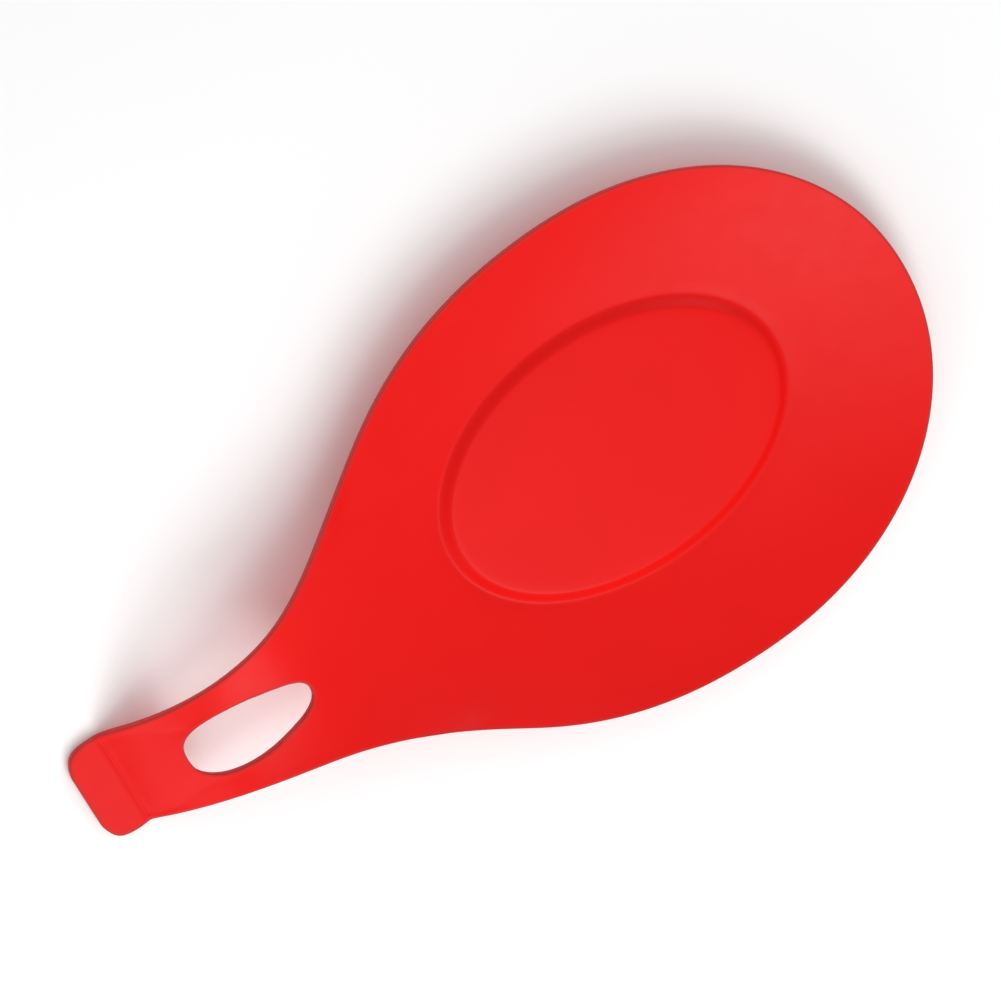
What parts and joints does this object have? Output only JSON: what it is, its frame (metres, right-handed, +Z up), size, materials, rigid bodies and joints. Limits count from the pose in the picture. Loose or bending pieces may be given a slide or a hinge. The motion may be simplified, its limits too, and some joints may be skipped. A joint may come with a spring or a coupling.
{
  "type": "spoon rest",
  "caption": "Teardrop silicone spoon rest with a raised oval centre, arched strap handle with a hanging hole, and a flat end lip.",
  "frame": {"origin": "on the table, under the middle of the whole length and width", "axes": "+X along the rest towards the bowl end, +Y across it, +Z up from the table"},
  "size_m": [0.198, 0.104, 0.021],
  "materials": {
    "silicone": "satin red moulded silicone"
  },
  "bodies": {
    "root": {"centre_platform": "silicone", "step_shoulder": "silicone", "drip_groove": "silicone", "bowl_wall": "silicone", "neck": "silicone", "handle": "silicone", "end_lip": "silicone"}
  },
  "joints": []
}
